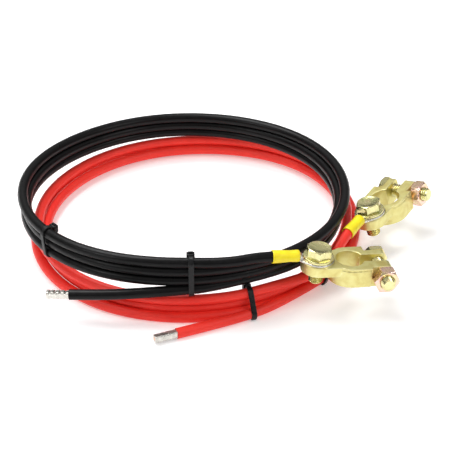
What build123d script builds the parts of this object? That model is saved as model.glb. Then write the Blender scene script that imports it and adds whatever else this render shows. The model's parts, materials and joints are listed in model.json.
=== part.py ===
"""A pair of coiled battery leads, black for the negative post and red for the positive.

Each lead is one double-insulated solar cable, wound into a flat coil of three turns and held by two
cable ties.  Its inner end carries a crimped ferrule; its outer end carries a ring terminal that is
bolted to a brass battery-post clamp.  The red coil lies on the floor and the black coil lies on it.

Millimetres, +Z up, floor at Z = 0.  The pieces are drawn about the middle between the two coils and
are moved at the end, so that the origin is the middle of the footprint on the floor.
"""
from build123d import *
import math
import os

# ---------------------------------------------------------------- driving dimensions
# cable
cable_d = 6.0            # over the outer sheath, 6 mm2 conductor
fit_gap = 0.05           # radial running clearance of a bolt in its hole

# coils: each is a slightly oval ring whose top slopes down from the front to the back
coil_r = 95.0            # middle of the bundle, front to back
red_half_width = 4.6     # half the bundle's width, measured along the radius
red_top_front = 17.2     # height of the red bundle at the front and at the back
red_top_back = 12.0
black_half_width = 4.0
lead_gap = 0.6           # between the two coils
black_height_front = 4 * cable_d
black_height_back = 3 * cable_d
coil_edge_r = 2.0        # rounding of the bundle's outer edges

# battery-post clamp, drawn with its lug bolt on Z and the pad's boss at Z = 0, jaws towards +X
pad_r = 9.2
pad_thickness = 6.0
boss_r = 9.0             # round seat for the ring terminal, raised above the clamp's top face
boss_height = 0.6
post_x = 18.5            # lug bolt to post bore
post_r_top = 7.95        # negative post, 15.9 mm at the top of the clamp
positive_extra_r = 0.8   # the positive post is 1.6 mm larger
post_land = 5.0          # straight top of the bore
post_taper = 1 / 18      # radius gained for each millimetre below the land
collar_wall = 3.7
collar_height = 12.0
shoulder_x = 28.7        # the collar's flanks end here, and stop the nut and the bolt head from turning far
ear_x = 36.4             # lug bolt to pinch bolt
ear_end = 4.6            # ear beyond the pinch bolt
nut_ear = 9.8            # outer face of the ear under the nut, from the middle of the slot
head_ear = 7.5           # outer face of the ear under the bolt head
ear_height = 13.0
ear_round = 3.0          # rounding of the ears' ends
slot_width = 6.6
lip_drop = 1.2           # groove round the flanks, below the top face
lip_width = 0.6
lip_depth = 0.45

# M8 fasteners
bolt_r = 4.0
thread_pitch = 1.25
head_flats = 13.0
head_height = 5.3
pinch_head_height = 4.0
nut_height = 6.5
hex_turned_r = 1.135     # radius that the hexagon's corners are turned to, for a half-flat of 1
hex_chamfer = (0.55, 0.95)   # down the axis and inwards
tip_chamfer = 0.8
washer_r = 8.6
washer_thickness = 1.6
washer_chamfer = 0.3
seat_gap = 0.02          # between the washer and what lies above and below it
lug_bolt_tip = 7.8       # lug bolt's length below the pad
pinch_bolt_length = 27.0
hole_clear = 0.25        # radial clearance where a bolt only passes through
pinch_z = -boss_height - ear_height / 2

# ring terminal and its sleeve, drawn along -X from the lug bolt, tongue's underside at Z = 0
tongue_r = 8.9
tongue_thickness = 1.0
barrel_r = 2.6
barrel_bore_r = 1.7
barrel_axis_z = 2.6
barrel_start = -11.0     # ring end of the barrel
barrel_length = 9.5
neck_share = 0.8         # the neck's half width, as a share of the barrel's radius
web_length = 2.4         # joins the neck to the barrel's end
web_height = 4.0
web_chamfer = 1.7
core_past_barrel = 1.0   # conductor that shows beyond the barrel
sleeve_start = -11.2     # ring end of the sleeve
sleeve_length = 15.3
sleeve_r_ring = 3.4
sleeve_r_middle = 3.5
sleeve_r_cable = 3.75
sleeve_rim = (0.4, 0.6)  # chamfer at the ring end, across and along
sleeve_grip = 5.4        # length of cable inside the sleeve

# ferrule, drawn along +X from the cut end of the sheath
ferrule_length = 13.0
ferrule_r = 2.5
ferrule_half = 2.05      # half of the crimped square section
crimp_count = 4
crimp_pitch = 2.9
crimp_width = 1.3
crimp_depth = 0.7
ferrule_core_r = 1.1     # conductor squeezed by the crimp, hidden inside the ferrule
ferrule_core_z = -0.2    # the notches press it down

# cable ties
tie_width = 3.0
tie_thickness = 1.1
tie_bite = 0.15          # how far the band is pulled into the bundle's flanks
tie_head = (3.6, 4.4, 4.6)   # out from the band, along it and up
head_sink = 0.4
head_edge_r = 0.7

# ---------------------------------------------------------------- where each lead's pieces lie
# lug: point of the bolt axis on the clamp's boss.  lean: degrees that the axis leans to +X and to -Y.
# lug_route and tail_route: points of the cable's free stretches, from the coil outwards.
# ties: angle round the coil, and the side the ratchet head is on (1 for outside, -1 for inside).
LEADS = {
    "black": {
        "centre": (-2.9, -1.0),
        "half_length": 94.2,
        "extra_r": 0.0,
        "lug": (72.9, -85.1, 33.2),
        "lean": (5.3, 0.8),
        "terminal_heading": 11.0,
        "clamp_heading": 13.3,
        "head_turn": 18.0,
        "ties": {"front_tie": (273.6, -1), "side_tie": (218.5, -1)},
        "lug_route": [(6.0, -96.6, 37.8), (17.5, -96.8, 37.9), (29.0, -95.4, 38.2)],
        "tail_route": [(14.0, -94.6, 21.2), (0.0, -97.4, 21.1), (-20.0, -99.0, 20.3),
                       (-43.0, -98.7, 18.4), (-64.0, -95.4, 16.6)],
        "ferrule_turn": 0.0,
    },
    "red": {
        "centre": (4.5, 0.0),
        "half_length": 92.9,
        "extra_r": positive_extra_r,
        "lug": (106.4, -20.0, 24.3),
        "lean": (-11.8, 0.4),
        "terminal_heading": 57.5,
        "clamp_heading": 57.5,
        "head_turn": 21.0,
        "ties": {"front_tie": (289.0, -1), "side_tie": (321.0, 1)},
        "lug_route": [(67.0, -72.6, 13.4), (75.4, -66.4, 14.2), (82.6, -58.4, 17.2)],
        "tail_route": [(52.0, -84.5, 4.2), (37.5, -94.2, 3.6), (18.0, -103.6, 3.1), (-4.8, -113.6, 3.1)],
        "ferrule_turn": 180.0,
    },
}
FAR = 400.0              # larger than the whole model


# ---------------------------------------------------------------- helpers
def lug_plane(lead, heading):
    """Plane of the clamp's boss at the lug bolt, with +X at the given heading."""
    to_x, to_front = (math.tan(math.radians(lean)) for lean in lead["lean"])
    normal = Vector(to_x, -to_front, 1).normalized()
    flat = Vector(math.cos(math.radians(heading)), math.sin(math.radians(heading)), 0)
    x_dir = flat - normal * flat.dot(normal)
    return Plane(origin=lead["lug"], x_dir=x_dir.normalized(), z_dir=normal)


def hexagon(flats, height, chamfered_foot=False):
    """Hexagonal prism from Z = 0, its corners turned off on top or on both ends."""
    prism = extrude(RegularPolygon(flats / 2, 6, major_radius=False), height, dir=(0, 0, 1))
    turned = Pos(0, 0, height / 2) * Cylinder(flats / 2 * hex_turned_r, height)
    rims = turned.edges().filter_by(GeomType.CIRCLE).sort_by(Axis.Z)
    turned = chamfer([rims[0], rims[-1]] if chamfered_foot else [rims[-1]], *hex_chamfer)
    return prism & turned


def bolt(length, head):
    """Hex bolt with its head above Z = 0 and its shank below."""
    shank = Pos(0, 0, -length / 2) * Cylinder(bolt_r, length)
    shank = chamfer(shank.edges().filter_by(GeomType.CIRCLE).sort_by(Axis.Z)[0], tip_chamfer)
    return shank + hexagon(head_flats, head)


def cable_tube(name, points):
    """Round tube along straight runs joined by arcs as large as the runs allow."""
    corners = [Vector(*p) for p in points]
    runs = [b - a for a, b in zip(corners, corners[1:])]
    radii = []
    for before, after in zip(runs, runs[1:]):
        turn = math.radians(before.get_angle(after))
        radii.append(0.45 * min(before.length, after.length) / math.tan(turn / 2))
    path = FilletPolyline(*corners, radius=radii)
    tube = sweep(Plane(origin=corners[0], z_dir=runs[0]) * Circle(cable_d / 2), path=path)
    plain = math.pi * cable_d ** 2 / 4 * path.length
    print(f"{name}: length {path.length:.1f}, radii", [round(r, 1) for r in radii],
          f"volume / (section x length) {tube.volume / plain:.4f}")
    return tube


# ---------------------------------------------------------------- coil
def half_space(centre_x, z_front, z_back, above):
    """Block above or below the plane that slopes from the front of a coil to its back."""
    slope = math.degrees(math.atan2(z_back - z_front, 2 * coil_r))
    middle = (z_front + z_back) / 2
    side = FAR / 2 if above else -FAR / 2
    return Pos(centre_x, 0, middle) * Rot(slope, 0, 0) * Pos(0, 0, side) * Box(FAR, FAR, FAR)


def coil(lead, half_width, bottom, top):
    """Outer shape of the wound turns; bottom and top are (front height, back height)."""
    x, y = lead["centre"]
    outer = Ellipse(lead["half_length"] + half_width, coil_r + half_width)
    inner = Ellipse(lead["half_length"] - half_width, coil_r - half_width)
    ring = extrude(Pos(x, y, 0) * (outer - inner), FAR / 8, both=True)
    ring -= half_space(x, *top, above=True)
    ring -= half_space(x, *bottom, above=False)
    return fillet(ring.edges(), coil_edge_r)


def tie(lead, coil_solid, angle, head_side):
    """Band pulled into the bundle's top and bottom, with its ratchet head at a top corner."""
    x, y = lead["centre"]
    spot = Pos(x, y, 0) * Rot(0, 0, angle)
    slab = Pos(coil_r, 0, 0) * Box(6 * cable_d, tie_width, FAR)
    section = ((spot.inverse() * coil_solid) & slab).bounding_box()
    low, size = section.min, section.size
    centre = Pos(low.X + size.X / 2, 0, low.Z + size.Z / 2)
    outer = Box(size.X + 2 * tie_thickness, tie_width, size.Z)
    inner = Box(size.X - 2 * tie_bite, 2 * tie_width, size.Z - 2 * tie_thickness)
    outer = fillet(outer.edges().filter_by(Axis.Y), coil_edge_r + tie_thickness)
    inner = fillet(inner.edges().filter_by(Axis.Y), coil_edge_r)
    head_x = head_side * ((size.X + tie_head[0]) / 2 + tie_thickness - head_sink)
    head = Pos(head_x, 0, (size.Z - tie_head[2]) / 2)
    head *= Box(*tie_head)
    head = fillet(head.edges().filter_by(Axis.Z), head_edge_r)
    return spot * centre * (outer + head - inner)


# ---------------------------------------------------------------- ring terminal
def terminal():
    """Tongue with its bolt hole, a neck that narrows to the barrel, and the barrel."""
    neck_half = neck_share * barrel_r
    lean = math.acos((tongue_r - neck_half) / -sleeve_start)
    x, y = -tongue_r * math.cos(lean), tongue_r * math.sin(lean)
    neck = Polygon((x, y), (x, -y), (sleeve_start, -neck_half), (sleeve_start, neck_half), align=None)
    tongue = extrude(neck + Circle(tongue_r), tongue_thickness, dir=(0, 0, 1))
    axis = Pos(barrel_start - barrel_length / 2, 0, barrel_axis_z) * Rot(0, 90, 0)
    web = Pos(sleeve_start + web_length / 2, 0, web_height / 2) * Box(web_length, 2 * neck_half, web_height)
    web = chamfer(web.edges().filter_by(Axis.Y).sort_by(Axis.X)[-2:].sort_by(Axis.Z)[-1], web_chamfer)
    bore = axis * Cylinder(barrel_bore_r, 3 * barrel_length)
    hole = Cylinder(bolt_r + hole_clear, 4 * tongue_thickness)
    return tongue + axis * Cylinder(barrel_r, barrel_length) + web - bore - hole


def sleeve():
    """Yellow pre-insulation: flared over the cable, tight over the barrel."""
    ring_x, cable_x = sleeve_start, sleeve_start - sleeve_length
    grip_x = cable_x + sleeve_grip
    across, lengthways = sleeve_rim
    profile = Polyline(
        (ring_x, barrel_r), (ring_x, sleeve_r_ring - across), (ring_x - lengthways, sleeve_r_ring),
        (grip_x, sleeve_r_middle), (cable_x, sleeve_r_cable), (cable_x, cable_d / 2),
        (grip_x, cable_d / 2), (grip_x, barrel_r), close=True)
    return Pos(0, 0, barrel_axis_z) * revolve(Plane.XY * make_face(profile), Axis.X)


def lug_core():
    """Stripped conductor inside the barrel, from the sheath's cut end to just past the barrel."""
    start = sleeve_start - sleeve_length + sleeve_grip
    end = barrel_start + core_past_barrel
    return Pos((start + end) / 2, 0, barrel_axis_z) * Rot(0, 90, 0) * Cylinder(barrel_bore_r, end - start)


# ---------------------------------------------------------------- ferrule
def ferrule():
    """Tinned tube pressed square on the conductor, with a row of crimp notches."""
    body = Pos(ferrule_length / 2, 0, 0) * Rot(0, 90, 0) * Cylinder(ferrule_r, ferrule_length)
    body &= Pos(ferrule_length / 2, 0, 0) * Box(ferrule_length, 2 * ferrule_half, 2 * ferrule_half)
    first = ferrule_length / 2 - crimp_pitch * (crimp_count - 1) / 2
    for i in range(crimp_count):
        body -= Pos(first + i * crimp_pitch, 0, ferrule_half) * Box(crimp_width, FAR, 2 * crimp_depth)
    return body - tail_core()


def tail_core():
    """Conductor inside the ferrule."""
    core = Rot(0, 90, 0) * Cylinder(ferrule_core_r, ferrule_length)
    return Pos(ferrule_length / 2, 0, ferrule_core_z) * core


# ---------------------------------------------------------------- post clamp
def flanks(collar_r):
    """Outline of the collar and its straight flanks, which end at the shoulders."""
    length = shoulder_x - post_x
    return Pos(post_x, 0) * (Circle(collar_r) + Pos(length / 2, 0) * Rectangle(length, 2 * collar_r))


def ears():
    """Both ears as one block, wider on the nut's side."""
    length = ear_x + ear_end - post_x
    middle = (head_ear - nut_ear) / 2
    block = Pos(post_x + length / 2, middle, -ear_height / 2) * Box(length, nut_ear + head_ear, ear_height)
    return fillet(block.edges().filter_by(Axis.Y).sort_by(Axis.X)[-2:], ear_round)


def clamp(extra_r):
    """Brass casting: tapped pad, split collar round the post, and two ears for the pinch bolt."""
    bore_r = post_r_top + extra_r
    collar_r = bore_r + collar_wall
    pad = Cylinder(pad_r, pad_thickness) + Pos(post_x / 2, 0, 0) * Box(post_x, 2 * pad_r, pad_thickness)
    body = extrude(flanks(collar_r), collar_height, dir=(0, 0, -1))
    lip = flanks(collar_r + lip_depth) - flanks(collar_r - lip_depth)
    body -= Pos(0, 0, -lip_drop) * extrude(lip, lip_width, dir=(0, 0, -1))
    body += Pos(0, 0, -pad_thickness / 2) * pad
    body += ears()
    body -= Pos(post_x, 0, 0) * Cylinder(bore_r, FAR / 4)
    depth = ear_height - post_land
    foot_r = bore_r + post_taper * depth
    body -= Pos(post_x, 0, -post_land - depth / 2) * Cone(foot_r, bore_r, depth)
    body -= Pos(post_x + FAR / 8, 0, 0) * Box(FAR / 4, slot_width, FAR / 4)
    body -= Pos(ear_x, 0, -ear_height / 2) * Rot(90, 0, 0) * Cylinder(bolt_r + fit_gap, FAR / 4)
    body += Pos(0, 0, boss_height / 2) * Cylinder(boss_r, boss_height)
    body -= Cylinder(bolt_r + fit_gap, FAR / 4)
    return Pos(0, 0, -boss_height) * body


def washer():
    """Flat washer under the lug bolt's head, from Z = 0 upwards."""
    disc = Pos(0, 0, washer_thickness / 2) * Cylinder(washer_r, washer_thickness)
    disc = chamfer(disc.edges().sort_by(Axis.Z)[-1], washer_chamfer)
    return disc - Cylinder(bolt_r + hole_clear, FAR / 4)


def nut():
    """Hex nut, from Z = 0 upwards."""
    return hexagon(head_flats, nut_height, chamfered_foot=True) - Cylinder(bolt_r + fit_gap, FAR / 4)


# ---------------------------------------------------------------- assembly
def lead_pieces(colour, coil_solid):
    """Every piece of one lead, keyed by node name."""
    lead = LEADS[colour]
    seat = lug_plane(lead, lead["terminal_heading"]).location
    clamp_seat = lug_plane(lead, lead["clamp_heading"]).location
    pieces = {"coil": coil_solid}

    # terminal stack: the tongue lies on the boss, the washer on the tongue, the bolt head on the washer
    pieces["ring_terminal"] = seat * terminal()
    pieces["terminal_sleeve"] = seat * sleeve()
    pieces["lug_core"] = seat * lug_core()
    pieces["clamp"] = clamp_seat * clamp(lead["extra_r"])
    washer_z = tongue_thickness + seat_gap
    pieces["lug_washer"] = clamp_seat * Pos(0, 0, washer_z) * washer()
    head_z = washer_z + washer_thickness + seat_gap
    lug_bolt = bolt(head_z + boss_height + pad_thickness + lug_bolt_tip, head_height)
    pieces["lug_bolt"] = clamp_seat * Pos(0, 0, head_z) * Rot(0, 0, lead["head_turn"]) * lug_bolt

    # pinch bolt: head on the +Y ear, nut on the -Y ear, a flat of each level with the clamp's top face
    pinch = clamp_seat * Pos(ear_x, 0, pinch_z)
    pinch_bolt = bolt(pinch_bolt_length, pinch_head_height)
    pieces["pinch_bolt"] = pinch * Pos(0, head_ear, 0) * Rot(-90, 0, 0) * pinch_bolt
    pieces["pinch_nut"] = pinch * Pos(0, -nut_ear, 0) * Rot(90, 0, 0) * nut()

    # free stretches of the cable
    cable_in = sleeve_start - sleeve_length + sleeve_grip
    end = seat * Pos(cable_in, 0, barrel_axis_z)
    before = seat * Pos(cable_in - 2 * cable_d, 0, barrel_axis_z)
    route = lead["lug_route"] + [tuple(before.position), tuple(end.position)]
    pieces["lug_cable"] = cable_tube(f"{colour} lug cable", route)
    tail = lead["tail_route"]
    pieces["tail_cable"] = cable_tube(f"{colour} tail cable", tail)
    last, previous = Vector(*tail[-1]), Vector(*tail[-2])
    outward = (last - previous).normalized()
    level = outward.cross(Vector(0, 0, 1)).normalized()
    up = level.cross(outward)
    end_plane = Plane(origin=last, x_dir=outward, z_dir=up).location * Rot(lead["ferrule_turn"], 0, 0)
    pieces["ferrule"] = end_plane * ferrule()
    pieces["ferrule_core"] = end_plane * tail_core()

    for name, (angle, head_side) in lead["ties"].items():
        pieces[name] = tie(lead, coil_solid, angle, head_side)
        pieces["coil"] -= pieces[name]
    return {f"{colour}_{name}": piece for name, piece in pieces.items()}


def build():
    """All pieces, moved so that the origin is the middle of the footprint."""
    red_top = (red_top_front, red_top_back)
    black_bottom = tuple(z + lead_gap for z in red_top)
    black_top = (black_bottom[0] + black_height_front, black_bottom[1] + black_height_back)
    pieces = lead_pieces("red", coil(LEADS["red"], red_half_width, (0, 0), red_top))
    pieces |= lead_pieces("black", coil(LEADS["black"], black_half_width, black_bottom, black_top))
    whole = Compound(children=[p.moved(Location()) for p in pieces.values()]).bounding_box()
    shift = Pos(-(whole.min.X + whole.max.X) / 2, -(whole.min.Y + whole.max.Y) / 2, 0)
    print("moved by", tuple(shift.position), "size", tuple(whole.size), "lowest", whole.min.Z)
    return {name: shift * piece for name, piece in pieces.items()}, shift


if __name__ == "__main__":
    os.makedirs("parts", exist_ok=True)
    model, _ = build()
    for node, solid in model.items():
        export_step(solid, f"parts/{node}.step")
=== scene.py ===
import bpy
import bmesh
import json
import math
from mathutils import Matrix, Vector


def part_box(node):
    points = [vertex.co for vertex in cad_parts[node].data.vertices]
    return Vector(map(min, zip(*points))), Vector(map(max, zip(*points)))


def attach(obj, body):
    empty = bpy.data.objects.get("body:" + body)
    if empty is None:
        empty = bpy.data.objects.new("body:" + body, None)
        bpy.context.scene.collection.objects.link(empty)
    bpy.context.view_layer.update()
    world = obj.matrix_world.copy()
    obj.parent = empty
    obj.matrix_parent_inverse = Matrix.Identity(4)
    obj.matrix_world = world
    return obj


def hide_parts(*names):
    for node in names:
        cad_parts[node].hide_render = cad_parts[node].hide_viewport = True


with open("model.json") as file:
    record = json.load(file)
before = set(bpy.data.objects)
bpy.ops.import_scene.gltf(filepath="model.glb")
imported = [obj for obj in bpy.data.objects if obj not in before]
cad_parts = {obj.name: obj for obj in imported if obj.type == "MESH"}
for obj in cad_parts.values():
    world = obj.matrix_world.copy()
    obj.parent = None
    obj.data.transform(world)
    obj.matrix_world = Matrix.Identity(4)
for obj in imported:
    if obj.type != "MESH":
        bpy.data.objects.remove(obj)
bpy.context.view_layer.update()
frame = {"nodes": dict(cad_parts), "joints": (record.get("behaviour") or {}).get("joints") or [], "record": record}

MM = 0.001
CABLE_R = 3.0 * MM
COLOURS = ("black", "red")
JOINTS = {joint["name"]: joint for joint in frame["joints"]}
MOUNTS = {mount["name"]: mount for mount in frame["record"]["mounts"]}
POLE = {"black": "negative", "red": "positive"}


# ---------------------------------------------------------------- places
def box_centre(node):
    low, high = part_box(node)
    return (Vector(low) + Vector(high)) / 2


COIL_CENTRE = {colour: box_centre(f"{colour}_coil").xy for colour in COLOURS}
HOME = COIL_CENTRE["red"] - Vector((4.5 * MM, 0))      # origin that the cable routes are given from
COIL_R = 95.0 * MM                                     # middle of the bundle, front to back
COIL_HALF_LENGTH = {"black": 94.2 * MM, "red": 92.9 * MM}


def home(point):
    """A point in millimetres from the cable routes' origin, as a vector in the frame."""
    return Vector((HOME.x, HOME.y, 0)) + Vector(point) * MM


def frame_at(origin, x_towards, z_axis):
    """Matrix with its Z along z_axis and its X towards a point."""
    z_axis = Vector(z_axis).normalized()
    x_axis = Vector(x_towards) - Vector(origin)
    x_axis = (x_axis - z_axis * x_axis.dot(z_axis)).normalized()
    y_axis = z_axis.cross(x_axis)
    matrix = Matrix((x_axis, y_axis, z_axis)).transposed().to_4x4()
    matrix.translation = Vector(origin)
    return matrix


def clamp_frame(colour):
    """Lug bolt on Z, clamp's boss at Z = 0, jaws towards +X."""
    swivel = JOINTS[f"{colour}_clamp_swivel"]
    bore = MOUNTS[f"{POLE[colour]}_post_bore"]["pos_m"]
    return frame_at(swivel["pos_m"], bore, swivel["axis"])


def terminal_frame(colour):
    """Same origin as the clamp's frame, with the cable arriving from -X."""
    swivel = JOINTS[f"{colour}_clamp_swivel"]
    origin = Vector(swivel["pos_m"])
    away = 2 * origin - box_centre(f"{colour}_terminal_sleeve")
    return frame_at(origin, away, swivel["axis"])


# ---------------------------------------------------------------- camera
CAMERA_ELEVATION = 31.0
CAMERA_DISTANCE = 1.05
CAMERA_TARGET = home((23.0, 3.9, 0.0))
CAMERA_LENS = 137.4


def make_camera():
    data = bpy.data.cameras.new("camera")
    data.lens = CAMERA_LENS
    data.clip_start, data.clip_end = 0.01, 20
    camera = bpy.data.objects.new("camera", data)
    bpy.context.collection.objects.link(camera)
    e = math.radians(CAMERA_ELEVATION)
    camera.location = CAMERA_TARGET + CAMERA_DISTANCE * Vector((0, -math.cos(e), math.sin(e)))
    camera.rotation_euler = (math.pi / 2 - e, 0, 0)
    bpy.context.scene.camera = camera


make_camera()


# ---------------------------------------------------------------- cables
POINTS_PER_TURN = 24
FRONT = 270.0            # azimuth of the coils' front, where turns are counted from
BARREL_AXIS = 2.6        # height of the terminal's barrel over the clamp, mm
SHEATH_CUT = -21.1       # where the sheath ends inside the sleeve, along the terminal's X, mm
STRAIGHT_START = 12.0    # how far the cable runs straight out of the sheath's cut end, mm

# lug: free stretch at the clamp, from the sleeve inwards.  tail: free stretch up to the ferrule.
# lay: radial offset and height of the strand at each quarter turn, from the front, clockwise.
CABLES = {
    "black": {
        "lug": [(29.0, -95.4, 38.2), (17.5, -96.8, 37.9), (6.0, -96.6, 37.8)],
        "lay": [(0.6, 38.4), (0.8, 33.2), (-1.2, 28.6), (1.2, 30.2),
                (0.6, 32.4), (-1.2, 27.2), (0.2, 22.8), (-2.2, 24.8),
                (-0.2, 26.2), (-0.4, 21.2), (1.8, 17.2), (-2.4, 19.2), (-0.4, 22.2)],
        "start": 262.0,
        "turns": 2.90,
        "tail": [(14.0, -94.6, 21.2), (0.0, -97.4, 21.1), (-20.0, -99.0, 20.3),
                 (-43.0, -98.7, 18.4), (-64.0, -95.4, 16.6)],
    },
    "red": {
        "lug": [(82.6, -58.4, 17.2), (75.4, -66.4, 14.2), (67.0, -72.6, 13.4)],
        "lay": [(0.6, 13.2), (0.8, 11.8), (2.2, 9.8), (-0.6, 10.6),
                (-0.8, 7.3), (-3.4, 5.8), (-0.6, 4.4), (-1.0, 4.8),
                (2.8, 3.1), (2.8, 3.1), (5.4, 3.1), (4.4, 3.1), (4.6, 3.2)],
        "start": 300.0,
        "turns": 2.95,
        "tail": [(52.0, -84.5, 4.2), (37.5, -94.2, 3.6), (18.0, -103.6, 3.1), (-4.8, -113.6, 3.1)],
    },
}
# how far each coil bulges from its ellipse at every eighth turn, from the front, clockwise
RING_SHAPE = {
    "black": (0.0, 1.0, -0.3, -2.8, 0.0, 1.8, 0.0, 0.6),
    "red": (0.0, 2.6, 0.2, -1.0, 0.3, 3.2, -2.2, -3.6),
}


def blend_table(table, position):
    """Smooth values between a table's equally spaced rows (Catmull-Rom)."""
    last = len(table) - 1
    position = min(max(position, 0.0), last)
    i = min(int(position), last - 1)
    f = position - i
    near = [table[min(max(i + k, 0), last)] for k in (-1, 0, 1, 2)]
    return [0.5 * (2 * b + (c - a) * f + (2 * a - 5 * b + 4 * c - d) * f ** 2
                   + (3 * b - a - 3 * c + d) * f ** 3)
            for a, b, c, d in zip(*near)]


def ring_bulge(colour, azimuth):
    """Smooth radial offset, in millimetres, that all turns of a coil share."""
    around = RING_SHAPE[colour]
    table = [(value,) for value in around[-1:] + around + around[:2]]
    eighths = (FRONT - azimuth) / 45.0 % len(around)
    return blend_table(table, 1 + eighths)[0]


def coil_points(colour):
    """Control points of the wound turns, clockwise seen from above."""
    cable = CABLES[colour]
    centre = COIL_CENTRE[colour]
    step = 360.0 / POINTS_PER_TURN
    swell = 1 / math.cos(math.radians(step / 2))
    points = []
    for i in range(round(cable["turns"] * POINTS_PER_TURN)):
        azimuth = cable["start"] - i * step
        offset, height = blend_table(cable["lay"], (FRONT - azimuth) / 90.0)
        offset += ring_bulge(colour, azimuth)
        a = math.radians(azimuth)
        x = (COIL_HALF_LENGTH[colour] + offset * MM) * swell * math.cos(a)
        y = (COIL_R + offset * MM) * swell * math.sin(a)
        points.append(Vector((centre.x + x, centre.y + y, height * MM)))
    return points


def cable_points(colour):
    """All control points, from inside the yellow sleeve to the ferrule."""
    seat = terminal_frame(colour)
    cut = seat @ Vector((SHEATH_CUT * MM, 0, BARREL_AXIS * MM))
    before = seat @ Vector(((SHEATH_CUT - STRAIGHT_START) * MM, 0, BARREL_AXIS * MM))
    lug = [home(point) for point in CABLES[colour]["lug"]]
    tail = [home(point) for point in CABLES[colour]["tail"]]
    return [cut, before] + lug + coil_points(colour) + tail


def make_cable(colour):
    curve = bpy.data.curves.new(f"{colour}_cable", "CURVE")
    curve.dimensions = "3D"
    spline = curve.splines.new("NURBS")
    points = cable_points(colour)
    spline.points.add(len(points) - 1)
    for slot, point in zip(spline.points, points):
        slot.co = (*point, 1.0)
    spline.order_u = 3
    spline.use_endpoint_u = True
    spline.resolution_u = 4
    curve.use_fill_caps = True
    cable = bpy.data.objects.new(f"{colour}_cable", curve)
    bpy.context.collection.objects.link(cable)
    bpy.context.view_layer.update()
    line = [v.co.copy() for v in bpy.data.meshes.new_from_object(cable).vertices]
    curve.bevel_depth = CABLE_R
    curve.bevel_resolution = 7
    return cable, line


def line_length(line):
    return sum((b - a).length for a, b in zip(line, line[1:]))


cables = {}
lines = {}
for colour in COLOURS:
    cables[colour], lines[colour] = make_cable(colour)
    print(colour, "cable length", round(line_length(lines[colour]), 4))


# ---------------------------------------------------------------- node helpers
def new_material(name, metallic=0.0, roughness=0.5):
    """Material with a Principled shader; returns the material, its nodes, its links and the shader."""
    material = bpy.data.materials.new(name)
    material.use_nodes = True
    nodes, links = material.node_tree.nodes, material.node_tree.links
    shader = nodes["Principled BSDF"]
    shader.inputs["Metallic"].default_value = metallic
    shader.inputs["Roughness"].default_value = roughness
    return material, nodes, links, shader


def noise_field(nodes, links, scale, detail=3.0, distortion=0.0, stretch=None):
    """Noise in object space, in cycles per metre; stretch scales the three axes."""
    place = nodes.new("ShaderNodeTexCoord")
    field = nodes.new("ShaderNodeTexNoise")
    field.inputs["Scale"].default_value = scale
    field.inputs["Detail"].default_value = detail
    field.inputs["Distortion"].default_value = distortion
    source = place.outputs["Object"]
    if stretch:
        mapping = nodes.new("ShaderNodeMapping")
        mapping.inputs["Scale"].default_value = stretch
        links.new(source, mapping.inputs["Vector"])
        source = mapping.outputs["Vector"]
    links.new(source, field.inputs["Vector"])
    return field.outputs["Fac"]


def colour_ramp(nodes, links, source, stops):
    """Colours at positions along a 0 to 1 value."""
    ramp = nodes.new("ShaderNodeValToRGB")
    elements = ramp.color_ramp.elements
    while len(elements) < len(stops):
        elements.new(0.5)
    for element, (position, rgb) in zip(elements, stops):
        element.position = position
        element.color = (*rgb, 1.0)
    links.new(source, ramp.inputs["Fac"])
    return ramp.outputs["Color"]


def value_range(nodes, links, source, low, high, from_low=0.3, from_high=0.7):
    """Maps a value to a range."""
    spread = nodes.new("ShaderNodeMapRange")
    spread.inputs["From Min"].default_value = from_low
    spread.inputs["From Max"].default_value = from_high
    spread.inputs["To Min"].default_value = low
    spread.inputs["To Max"].default_value = high
    links.new(source, spread.inputs["Value"])
    return spread.outputs["Result"]


def add_bumps(nodes, links, shader, layers):
    """Stacks bump layers given as (height source, strength, distance in metres)."""
    normal = None
    for source, strength, distance in layers:
        bump = nodes.new("ShaderNodeBump")
        bump.inputs["Strength"].default_value = strength
        bump.inputs["Distance"].default_value = distance
        links.new(source, bump.inputs["Height"])
        if normal:
            links.new(normal, bump.inputs["Normal"])
        normal = bump.outputs["Normal"]
    links.new(normal, shader.inputs["Normal"])


def mix_colours(nodes, links, factor, first, over):
    """Mixes the fixed colour `over` onto the colour `first` by a factor."""
    mix = nodes.new("ShaderNodeMix")
    mix.data_type = "RGBA"
    links.new(factor, mix.inputs["Factor"])
    links.new(first, mix.inputs["A"])
    mix.inputs["B"].default_value = (*over, 1.0)
    return mix.outputs["Result"]


# ---------------------------------------------------------------- materials
def sheath_material(name, dark, light, dust, roughness, specular):
    """Cross-linked cable sheath: satin, faintly dusty, with fine extrusion grain."""
    material, nodes, links, shader = new_material(name)
    tone = noise_field(nodes, links, 55, 2)
    base = colour_ramp(nodes, links, tone, [(0.3, dark), (0.7, light)])
    film = noise_field(nodes, links, 420, 5, 0.6)
    dusty = value_range(nodes, links, film, 0.0, 0.22, 0.55, 0.8)
    links.new(mix_colours(nodes, links, dusty, base, dust), shader.inputs["Base Color"])
    rough = value_range(nodes, links, film, roughness - 0.05, roughness + 0.1)
    links.new(rough, shader.inputs["Roughness"])
    grain = noise_field(nodes, links, 2600, 4)
    waves = noise_field(nodes, links, 260, 2)
    add_bumps(nodes, links, shader, [(waves, 0.35, 0.00012), (grain, 0.25, 0.00003)])
    shader.inputs["Specular IOR Level"].default_value = specular
    return material


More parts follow.
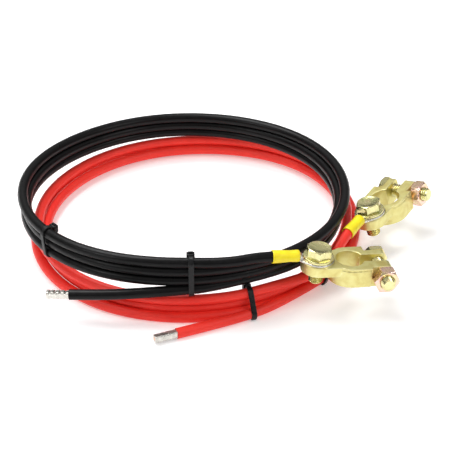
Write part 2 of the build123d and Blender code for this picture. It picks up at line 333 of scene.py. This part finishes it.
def brass_material():
    """Pale cast brass with a sandy skin, brighter on its worn edges."""
    material, nodes, links, shader = new_material("cast_brass", metallic=1.0)
    cloud = noise_field(nodes, links, 170, 4, 0.4)
    base = colour_ramp(nodes, links, cloud, [
        (0.25, (0.61, 0.50, 0.17)),
        (0.5, (0.71, 0.64, 0.26)),
        (0.75, (0.78, 0.74, 0.35)),
    ])
    geometry = nodes.new("ShaderNodeNewGeometry")
    edge = value_range(nodes, links, geometry.outputs["Pointiness"], 0.0, 0.8, 0.5, 0.58)
    links.new(mix_colours(nodes, links, edge, base, (0.90, 0.84, 0.50)), shader.inputs["Base Color"])
    skin = noise_field(nodes, links, 1500, 5, 0.3)
    links.new(value_range(nodes, links, skin, 0.34, 0.52), shader.inputs["Roughness"])
    pits = noise_field(nodes, links, 620, 3, 0.5)
    add_bumps(nodes, links, shader, [(pits, 0.4, 0.00016), (skin, 0.45, 0.00006)])
    return material


def zinc_material(name, stops, roughness):
    """Passivated zinc whose film shifts in hue over the surface."""
    material, nodes, links, shader = new_material(name, metallic=1.0)
    drift = noise_field(nodes, links, 130, 3, 1.4)
    links.new(colour_ramp(nodes, links, drift, stops), shader.inputs["Base Color"])
    scuff = noise_field(nodes, links, 900, 5, 0.2)
    rough = value_range(nodes, links, scuff, roughness - 0.05, roughness + 0.08)
    links.new(rough, shader.inputs["Roughness"])
    add_bumps(nodes, links, shader, [(scuff, 0.08, 0.00003)])
    return material


def tin_material():
    """Tin plate: soft silver with faint clouding and fine scratches."""
    material, nodes, links, shader = new_material("tinned_copper", metallic=1.0)
    cloud = noise_field(nodes, links, 350, 4, 0.6)
    base = colour_ramp(nodes, links, cloud, [(0.3, (0.50, 0.48, 0.44)), (0.7, (0.70, 0.68, 0.63))])
    links.new(base, shader.inputs["Base Color"])
    scratch = noise_field(nodes, links, 900, 3, 0.0, (0.15, 1.0, 1.0))
    links.new(value_range(nodes, links, scratch, 0.2, 0.38), shader.inputs["Roughness"])
    add_bumps(nodes, links, shader, [(scratch, 0.2, 0.00004)])
    return material


def copper_material():
    """Bright drawn copper strands, slightly tarnished."""
    material, nodes, links, shader = new_material("copper_strands", metallic=1.0)
    cloud = noise_field(nodes, links, 800, 3, 0.4)
    base = colour_ramp(nodes, links, cloud, [(0.3, (0.62, 0.33, 0.20)), (0.7, (0.90, 0.58, 0.40))])
    links.new(base, shader.inputs["Base Color"])
    links.new(value_range(nodes, links, cloud, 0.25, 0.4), shader.inputs["Roughness"])
    return material


def sleeve_material():
    """Yellow nylon insulation, slightly translucent, with crimping scuffs."""
    material, nodes, links, shader = new_material("yellow_sleeve")
    cloud = noise_field(nodes, links, 240, 3, 0.3)
    base = colour_ramp(nodes, links, cloud, [(0.3, (0.84, 0.66, 0.005)), (0.7, (0.93, 0.79, 0.01))])
    links.new(base, shader.inputs["Base Color"])
    scuff = noise_field(nodes, links, 1100, 4, 0.5)
    links.new(value_range(nodes, links, scuff, 0.3, 0.46), shader.inputs["Roughness"])
    shader.inputs["Subsurface Weight"].default_value = 0.12
    shader.inputs["Subsurface Radius"].default_value = (0.0012, 0.0009, 0.0002)
    add_bumps(nodes, links, shader, [(cloud, 0.3, 0.0001), (scuff, 0.2, 0.00004)])
    return material


def nylon_material():
    """Black moulded nylon of the cable ties."""
    material, nodes, links, shader = new_material("tie_nylon")
    cloud = noise_field(nodes, links, 500, 3, 0.2)
    base = colour_ramp(nodes, links, cloud, [(0.3, (0.004, 0.004, 0.0045)), (0.7, (0.009, 0.009, 0.0095))])
    links.new(base, shader.inputs["Base Color"])
    links.new(value_range(nodes, links, cloud, 0.25, 0.38), shader.inputs["Roughness"])
    shader.inputs["Specular IOR Level"].default_value = 0.25
    add_bumps(nodes, links, shader, [(cloud, 0.2, 0.00005)])
    return material


# film colours of the passivated zinc: greenish yellow on bolts and washers, pinkish on the nuts
ZINC_PLATE = [
    (0.25, (0.48, 0.50, 0.22)),
    (0.45, (0.70, 0.66, 0.32)),
    (0.6, (0.80, 0.72, 0.38)),
    (0.78, (0.78, 0.50, 0.30)),
]
ZINC_NUT = [
    (0.25, (0.80, 0.70, 0.38)),
    (0.45, (0.88, 0.62, 0.42)),
    (0.62, (0.88, 0.58, 0.52)),
    (0.78, (0.78, 0.76, 0.50)),
]
MATERIALS = {
    "black_sheath": sheath_material("black_sheath", dark=(0.002, 0.002, 0.002), light=(0.004, 0.0035, 0.004),
                                    dust=(0.016, 0.016, 0.016), roughness=0.32, specular=0.16),
    "red_sheath": sheath_material("red_sheath", dark=(0.84, 0.030, 0.020), light=(0.90, 0.040, 0.026),
                                  dust=(0.88, 0.11, 0.09), roughness=0.42, specular=0.30),
    "cast_brass": brass_material(),
    "zinc_plate": zinc_material("zinc_plate", ZINC_PLATE, 0.22),
    "zinc_nut": zinc_material("zinc_nut", ZINC_NUT, 0.24),
    "tinned_copper": tin_material(),
    "copper_strands": copper_material(),
    "yellow_sleeve": sleeve_material(),
    "tie_nylon": nylon_material(),
}


# ---------------------------------------------------------------- mesh helpers
def finish_piece(piece, body, slot_name, *replaced):
    """Rides the piece on its body, gives it its slot's material and hides the CAD parts that it stands for."""
    piece.data.materials.clear()
    piece.data.materials.append(MATERIALS[slot_name])
    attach(piece, body)
    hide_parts(*replaced)


def mesh_object(name, verts, faces):
    """Smooth-shaded object made from vertices and faces."""
    mesh = bpy.data.meshes.new(name)
    mesh.from_pydata([tuple(v) for v in verts], [], faces)
    mesh.update()
    mesh.shade_smooth()
    piece = bpy.data.objects.new(name, mesh)
    bpy.context.collection.objects.link(piece)
    return piece


def grid_object(name, rings, matrix, caps=True):
    """Skin through rings that all have the same number of points, closed by a face at each end."""
    verts = [matrix @ Vector(p) for ring in rings for p in ring]
    count = len(rings[0])
    faces = []
    for i in range(len(rings) - 1):
        for j in range(count):
            a, b = i * count + j, i * count + (j + 1) % count
            faces.append((a, b, b + count, a + count))
    if caps:
        faces.append(tuple(reversed(range(count))))
        last = (len(rings) - 1) * count
        faces.append(tuple(range(last, last + count)))
    piece = mesh_object(name, verts, faces)
    tidy_normals(piece)
    return piece


def tidy_normals(piece):
    """Turns every face outwards."""
    work = bmesh.new()
    work.from_mesh(piece.data)
    bmesh.ops.recalc_face_normals(work, faces=work.faces)
    work.to_mesh(piece.data)
    work.free()


def auto_smooth(piece, degrees):
    """Keeps edges sharper than the angle crisp."""
    limit = math.radians(degrees)
    work = bmesh.new()
    work.from_mesh(piece.data)
    for edge in work.edges:
        if len(edge.link_faces) == 2:
            edge.smooth = edge.calc_face_angle(0) < limit
    work.to_mesh(piece.data)
    work.free()


def apply_modifiers(piece):
    """Replaces the piece's mesh by its evaluated one."""
    bpy.context.view_layer.update()
    done = bpy.data.meshes.new_from_object(piece.evaluated_get(bpy.context.evaluated_depsgraph_get()))
    piece.modifiers.clear()
    piece.data = done


SOFTENING_ROUNDS = 3


def softened_copy(name, node, voxel):
    """Copy of a CAD node with its edges worn round, by voxel remesh and smoothing."""
    source = frame["nodes"][node]
    piece = bpy.data.objects.new(name, source.data.copy())
    piece.matrix_world = source.matrix_world.copy()
    bpy.context.collection.objects.link(piece)
    remesh = piece.modifiers.new("remesh", "REMESH")
    remesh.mode = "VOXEL"
    remesh.voxel_size = voxel
    remesh.adaptivity = 0.0
    smooth = piece.modifiers.new("smooth", "SMOOTH")
    smooth.factor = 0.5
    smooth.iterations = SOFTENING_ROUNDS
    apply_modifiers(piece)
    piece.data.shade_smooth()
    return piece


SIDES = 96           # points round every turned or hexagonal shape


def circle(radius, height):
    """Ring of points round Z."""
    angles = [2 * math.pi * i / SIDES for i in range(SIDES)]
    return [(radius * math.cos(angle), radius * math.sin(angle), height) for angle in angles]


# ---------------------------------------------------------------- fasteners
HEAD_FLATS = 13.0 * MM
LUG_HEAD_HEIGHT = 5.3 * MM
PINCH_HEAD_HEIGHT = 4.0 * MM
NUT_HEIGHT = 6.5 * MM
TURNED_R = 0.475 * HEAD_FLATS      # circle that the chamfer leaves on a hexagon's end face
CHAMFER_SLOPE = 1.73               # radius gained per height along the chamfer, 30 degrees
THREAD_PITCH = 1.25 * MM
THREAD_R = 3.96 * MM
THREAD_ROOT = 3.28 * MM
THREAD_STEPS = 8                   # rings per turn of thread
TIP_CHAMFER = 0.9 * MM
CRISP_EDGE = 28.0                  # angle over which an edge of a bolt or nut stays sharp, degrees


def hexagon_radius(angle):
    """Distance from the middle to the side of a hexagon with a corner at angle 0."""
    return HEAD_FLATS / 2 / math.cos((angle % (math.pi / 3)) - math.pi / 6)


def hexagon_rings(low, high, bottom_chamfer):
    """Rings up a hexagonal block whose top corners, and bottom ones if asked, are turned off."""
    ring_steps = (0.0, 0.15 * MM, 0.4 * MM, 0.8 * MM)
    heights = [low + step for step in ring_steps] + [(low + high) / 2]
    heights += [high - step for step in reversed(ring_steps)]
    rings = []
    for z in heights:
        ring = []
        for i in range(SIDES):
            angle = 2 * math.pi * i / SIDES
            r = min(hexagon_radius(angle), TURNED_R + (high - z) * CHAMFER_SLOPE)
            if bottom_chamfer:
                r = min(r, TURNED_R + (z - low) * CHAMFER_SLOPE)
            ring.append((r * math.cos(angle), r * math.sin(angle), z))
        rings.append(ring)
    return rings


def thread_rings(top, tip):
    """Rings down a threaded shank, as a single-start helix, to its chamfered tip."""
    count = round((top - tip) / THREAD_PITCH * THREAD_STEPS)
    rings = []
    for i in range(count + 1):
        z = top + (tip - top) * i / count
        limit = THREAD_ROOT - 0.15 * MM + (z - tip) * THREAD_R / (TIP_CHAMFER * 4)
        ring = []
        for j in range(SIDES):
            angle = 2 * math.pi * j / SIDES
            phase = (z / THREAD_PITCH - angle / (2 * math.pi)) % 1.0
            crest = min(1.0, max(0.0, 1.25 * (1 - abs(2 * phase - 1)) - 0.12))
            r = min(THREAD_ROOT + (THREAD_R - THREAD_ROOT) * crest, limit)
            ring.append((r * math.cos(angle), r * math.sin(angle), z))
        rings.append(ring)
    return rings


def make_bolt(name, matrix, length, head_height, turn):
    """Hex bolt: head above Z = 0, threaded shank below, with a shallow dish in the head."""
    shank = thread_rings(0.0, -length)
    shank.reverse()
    head = hexagon_rings(0.0, head_height, bottom_chamfer=False)
    seat = [circle(HEAD_FLATS * 0.46, 0.0)]
    dish = [circle(TURNED_R - 0.5 * MM, head_height), circle(TURNED_R - 0.9 * MM, head_height - 0.18 * MM),
            circle(TURNED_R - 4.5 * MM, head_height - 0.2 * MM)]
    tip = [circle(THREAD_ROOT * 0.5, -length)]
    turned = matrix @ Matrix.Rotation(math.radians(turn), 4, "Z")
    piece = grid_object(name, tip + shank + seat + head + dish, turned)
    auto_smooth(piece, CRISP_EDGE)
    return piece


def make_nut(name, matrix):
    """Hex nut from Z = 0 upwards, chamfered on both ends, with its bore left open."""
    outer = hexagon_rings(0.0, NUT_HEIGHT, bottom_chamfer=True)
    bore, countersunk, depth = THREAD_R + 0.06 * MM, THREAD_R + 0.45 * MM, 0.45 * MM
    mouth = [circle(countersunk, NUT_HEIGHT), circle(bore, NUT_HEIGHT - depth)]
    foot = [circle(bore, depth), circle(countersunk, 0.0)]
    piece = grid_object(name, outer + mouth + foot + [outer[0]], matrix, caps=False)
    work = bmesh.new()
    work.from_mesh(piece.data)
    bmesh.ops.remove_doubles(work, verts=work.verts, dist=1e-6)
    work.to_mesh(piece.data)
    work.free()
    tidy_normals(piece)
    auto_smooth(piece, CRISP_EDGE)
    return piece


# sizes and places of the M8 hardware on the clamp, mm
TONGUE = 1.02            # ring terminal's thickness, with the gap under the washer
WASHER_R = 8.6
WASHER_HOLE = 4.25
WASHER = 1.6
BOSS = 0.6
PAD = 6.0
LUG_BOLT_TIP = 7.8       # how far the lug bolt stands out below the pad
EAR_X = 36.4
HEAD_EAR = 7.5           # outer face of the ear under the pinch bolt's head
NUT_EAR = 9.8            # outer face of the ear under the nut
EAR_HEIGHT = 13.0
PINCH_LENGTH = 27.0
HEAD_TURN = {"black": 18.0, "red": 21.0}     # how far the lug bolt's head is turned, degrees


def make_washer(name, matrix):
    """Stamped flat washer: one rim rolled over, the other sharp."""
    low, high, r, hole = TONGUE * MM, (TONGUE + WASHER) * MM, WASHER_R * MM, WASHER_HOLE * MM
    rings = [circle(hole, low), circle(r - 0.1 * MM, low), circle(r, low + 0.12 * MM),
             circle(r, high - 0.45 * MM), circle(r - 0.16 * MM, high - 0.12 * MM),
             circle(r - 0.5 * MM, high), circle(hole + 0.2 * MM, high),
             circle(hole, high - 0.2 * MM), circle(hole, low)]
    piece = grid_object(name, rings, matrix, caps=False)
    auto_smooth(piece, 40)
    return piece


def make_fasteners(colour):
    seat = clamp_frame(colour)
    washer = make_washer(f"{colour}_washer_plate", seat)
    finish_piece(washer, f"{colour}_lug_washer", "zinc_plate", f"{colour}_lug_washer")

    head_z = (TONGUE + WASHER) * MM
    on_head = seat @ Matrix.Translation((0, 0, head_z))
    lug_length = head_z + (BOSS + PAD + LUG_BOLT_TIP) * MM
    lug_bolt = make_bolt(f"{colour}_lug_bolt_m8", on_head, lug_length, LUG_HEAD_HEIGHT, HEAD_TURN[colour])
    finish_piece(lug_bolt, f"{colour}_lug_bolt", "zinc_plate", f"{colour}_lug_bolt")

    pinch = seat @ Matrix.Translation((EAR_X * MM, 0, -(BOSS + EAR_HEIGHT / 2) * MM))
    far = pinch @ Matrix.Translation((0, HEAD_EAR * MM, 0)) @ Matrix.Rotation(-math.pi / 2, 4, "X")
    bolt = make_bolt(f"{colour}_pinch_bolt_m8", far, PINCH_LENGTH * MM, PINCH_HEAD_HEIGHT, 0.0)
    finish_piece(bolt, f"{colour}_pinch_bolt", "zinc_plate", f"{colour}_pinch_bolt")
    near = pinch @ Matrix.Translation((0, -NUT_EAR * MM, 0)) @ Matrix.Rotation(math.pi / 2, 4, "X")
    nut = make_nut(f"{colour}_pinch_nut_m8", near)
    finish_piece(nut, f"{colour}_pinch_nut", "zinc_nut", f"{colour}_pinch_nut")


# ---------------------------------------------------------------- clamp, terminal, ferrule
SLEEVE_SIDES = 72


def make_castings(colour):
    clamp = softened_copy(f"{colour}_clamp_casting", f"{colour}_clamp", 0.28 * MM)
    finish_piece(clamp, f"{colour}_clamp", "cast_brass", f"{colour}_clamp")
    lead = f"{colour}_lead"
    terminal = softened_copy(f"{colour}_terminal_pressing", f"{colour}_ring_terminal", 0.2 * MM)
    finish_piece(terminal, lead, "tinned_copper", f"{colour}_ring_terminal")
    ferrule = softened_copy(f"{colour}_ferrule_crimp", f"{colour}_ferrule", 0.13 * MM)
    finish_piece(ferrule, lead, "tinned_copper", f"{colour}_ferrule")


def make_sleeve(colour):
    """Yellow insulation: flared over the cable, a step, then the barrel with the crimp's flats."""
    ring_x, cable_x = -11.2, -26.5
    profile = [
        (ring_x, 2.62), (ring_x, 3.1), (ring_x - 0.35, 3.36), (ring_x - 1.2, 3.4),
        (ring_x - 3.0, 3.36), (ring_x - 5.0, 3.3), (ring_x - 7.0, 3.34), (ring_x - 9.0, 3.46),
        (ring_x - 9.9, 3.5), (ring_x - 10.6, 3.6), (cable_x + 2.0, 3.68), (cable_x + 0.5, 3.74),
        (cable_x + 0.1, 3.68), (cable_x, 3.5), (cable_x + 0.15, 3.1), (cable_x + 1.2, 3.02),
    ]
    rings = []
    for x, r in profile:
        pinch = math.exp(-((x - ring_x + 5.0) / 2.2) ** 2)
        ring = []
        for i in range(SLEEVE_SIDES):
            a = 2 * math.pi * i / SLEEVE_SIDES
            flat = 1.0 - 0.09 * pinch * abs(math.sin(a)) ** 3 + 0.05 * pinch * abs(math.cos(a)) ** 3
            ring.append((x * MM, r * flat * math.cos(a) * MM, (BARREL_AXIS + r * flat * math.sin(a)) * MM))
        rings.append(ring)
    piece = grid_object(f"{colour}_sleeve_nylon", rings, terminal_frame(colour), caps=False)
    finish_piece(piece, f"{colour}_lead", "yellow_sleeve", f"{colour}_terminal_sleeve")


# ---------------------------------------------------------------- ties
TIE_THICKNESS = 1.1 * MM
TIE_WIDTH = 3.0 * MM
TIE_RIM = 0.35 * MM          # width of the bevel along the band's edges
TIE_RIM_DEPTH = 0.7          # share of the thickness at which the bevel starts
TIE_GAP = 0.03 * MM          # between the band and the sheath
FLOOR_GAP = 0.05 * MM
BAND_POINTS = 96
HEAD_SIZE = (3.5 * MM, 4.5 * MM, 4.7 * MM)
LOOSE_END_SIZE = (1.15 * MM, 2.7 * MM, 1.6 * MM)
BUNDLE_REACH = 14 * MM       # strands farther than this from the coil's middle line stay outside a tie
# angle round the coil, and the side the ratchet head is on: 1 for outside, -1 for inside
TIES = {
    "black_front": (273.6, -1),
    "black_side": (218.5, -1),
    "red_front": (289.0, -1),
    "red_side": (321.0, 1),
}


def strands_at(colour, azimuth):
    """(radius, height) of every strand that crosses a radial plane of the coil."""
    centre = COIL_CENTRE[colour]
    a = math.radians(azimuth)
    out, side = Vector((math.cos(a), math.sin(a))), Vector((-math.sin(a), math.cos(a)))
    found = []
    for p, q in zip(lines[colour], lines[colour][1:]):
        before, after = (p.xy - centre).dot(side), (q.xy - centre).dot(side)
        if before * after > 0 or before == after or (p.xy - centre).dot(out) < 0:
            continue
        at = p.lerp(q, before / (before - after))
        found.append(Vector(((at.xy - centre).dot(out), at.z)))
    return [strand for strand in found if abs(strand.x - COIL_R) < BUNDLE_REACH]


def tie_band(strands):
    """(inner, outer) points, as (radius, height), of a band pulled round the strands."""
    band = []
    for i in range(BAND_POINTS):
        a = 2 * math.pi * i / BAND_POINTS
        u = Vector((math.cos(a), math.sin(a)))
        touch = max(strands, key=lambda strand: strand.dot(u))
        inner, outer = touch + u * (CABLE_R + TIE_GAP), touch + u * (CABLE_R + TIE_THICKNESS)
        outer.y = max(outer.y, FLOOR_GAP)      # the band is flattened where it lies on the floor
        band.append((inner, outer))
    return band


def band_mesh(name, band, matrix):
    """Closed band with bevelled outer edges."""
    half = TIE_WIDTH / 2
    section = [(0, -half), (0, half), (TIE_RIM_DEPTH, half), (1, half - TIE_RIM), (1, -half + TIE_RIM),
               (TIE_RIM_DEPTH, -half)]
    verts, faces = [], []
    for inner, outer in band:
        for depth, y in section:
            p = inner.lerp(outer, depth)
            verts.append(matrix @ Vector((p.x, y, p.y)))
    size = len(section)
    for i in range(BAND_POINTS):
        after = (i + 1) % BAND_POINTS
        for j in range(size):
            k = (j + 1) % size
            faces.append((i * size + j, i * size + k, after * size + k, after * size + j))
    piece = mesh_object(name, verts, faces)
    tidy_normals(piece)
    return piece


def make_tie(colour, end):
    """Nylon band round the strands, with a ratchet head on its outer or inner top corner."""
    azimuth, head_side = TIES[f"{colour}_{end}"]
    centre = COIL_CENTRE[colour]
    matrix = Matrix.Translation((centre.x, centre.y, 0)) @ Matrix.Rotation(math.radians(azimuth), 4, "Z")
    band = tie_band(strands_at(colour, azimuth))
    piece = band_mesh(f"{colour}_{end}_tie_nylon", band, matrix)
    top_z = max(outer.y for _, outer in band)
    side_x = head_side * max(outer.x * head_side for _, outer in band if outer.y > top_z - 4 * MM)
    head = (side_x + head_side * 0.4 * MM, 0, top_z - 2.9 * MM)
    loose_end = (side_x + head_side * 0.6 * MM, 0, top_z - 0.5 * MM)
    join_box(piece, matrix, head, HEAD_SIZE, 0.45 * MM)
    join_box(piece, matrix, loose_end, LOOSE_END_SIZE, 0.2 * MM)
    auto_smooth(piece, 35)
    finish_piece(piece, f"{colour}_lead", "tie_nylon", f"{colour}_{end}_tie")


def join_box(piece, matrix, centre, size, bevel):
    """Adds a box with rounded edges to a piece."""
    work = bmesh.new()
    work.from_mesh(piece.data)
    place = matrix @ Matrix.Translation(centre) @ Matrix.Diagonal((*size, 1.0))
    made = bmesh.ops.create_cube(work, size=1.0, matrix=place)
    edges = {edge for vert in made["verts"] for edge in vert.link_edges}
    bmesh.ops.bevel(work, geom=list(edges), offset=bevel, segments=3, affect="EDGES", profile=0.5)
    for face in work.faces:
        face.smooth = True
    work.to_mesh(piece.data)
    work.free()


# ---------------------------------------------------------------- build
for colour in COLOURS:
    make_fasteners(colour)
    make_castings(colour)
    make_sleeve(colour)
    make_tie(colour, "front")
    make_tie(colour, "side")
    for core in ("lug_core", "ferrule_core"):
        frame["nodes"][f"{colour}_{core}"].data.materials.clear()
        frame["nodes"][f"{colour}_{core}"].data.materials.append(MATERIALS["copper_strands"])
    cable = cables[colour]
    cable.data.materials.append(MATERIALS[f"{colour}_sheath"])
    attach(cable, f"{colour}_lead")
    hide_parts(f"{colour}_coil", f"{colour}_lug_cable", f"{colour}_tail_cable")


# ---------------------------------------------------------------- stage and light
def make_floor():
    bpy.ops.mesh.primitive_plane_add(size=6, location=(0, 0, 0))
    floor = bpy.context.object
    floor.name = "floor"
    material, nodes, links, shader = new_material("floor", roughness=0.6)
    shader.inputs["Base Color"].default_value = (0.85, 0.85, 0.85, 1.0)
    shader.inputs["Specular IOR Level"].default_value = 0.1
    shader.inputs["Emission Color"].default_value = (1.0, 1.0, 1.0, 1.0)
    shader.inputs["Emission Strength"].default_value = 0.3
    floor.data.materials.append(material)


def make_area_light(name, place, size, power):
    """White rectangular light aimed at the origin."""
    data = bpy.data.lights.new(name, "AREA")
    data.shape = "RECTANGLE"
    data.size, data.size_y = size
    data.energy = power
    light = bpy.data.objects.new(name, data)
    light.location = place
    light.rotation_euler = (-Vector(place)).to_track_quat("-Z", "Y").to_euler()
    bpy.context.collection.objects.link(light)


def make_sky():
    """White studio surround that darkens towards the horizon."""
    world = bpy.data.worlds.new("world")
    world.use_nodes = True
    nodes, links = world.node_tree.nodes, world.node_tree.links
    place = nodes.new("ShaderNodeTexCoord")
    split = nodes.new("ShaderNodeSeparateXYZ")
    links.new(place.outputs["Generated"], split.inputs["Vector"])
    sky = colour_ramp(nodes, links, split.outputs["Z"], [
        (0.0, (0.08, 0.08, 0.08)),
        (0.22, (0.25, 0.25, 0.25)),
        (0.48, (1.0, 1.0, 1.0)),
        (1.0, (1.0, 1.0, 1.0)),
    ])
    links.new(sky, nodes["Background"].inputs["Color"])
    nodes["Background"].inputs["Strength"].default_value = 0.55
    bpy.context.scene.world = world


make_floor()
make_area_light("key", (-0.35, 0.25, 1.0), (0.8, 0.6), 11)
make_area_light("fill_right", (0.9, -0.5, 0.7), (0.5, 0.4), 3)
make_area_light("fill_left", (-0.9, -0.6, 0.6), (0.4, 0.4), 2.5)
make_sky()
bpy.context.scene.view_settings.view_transform = "Standard"
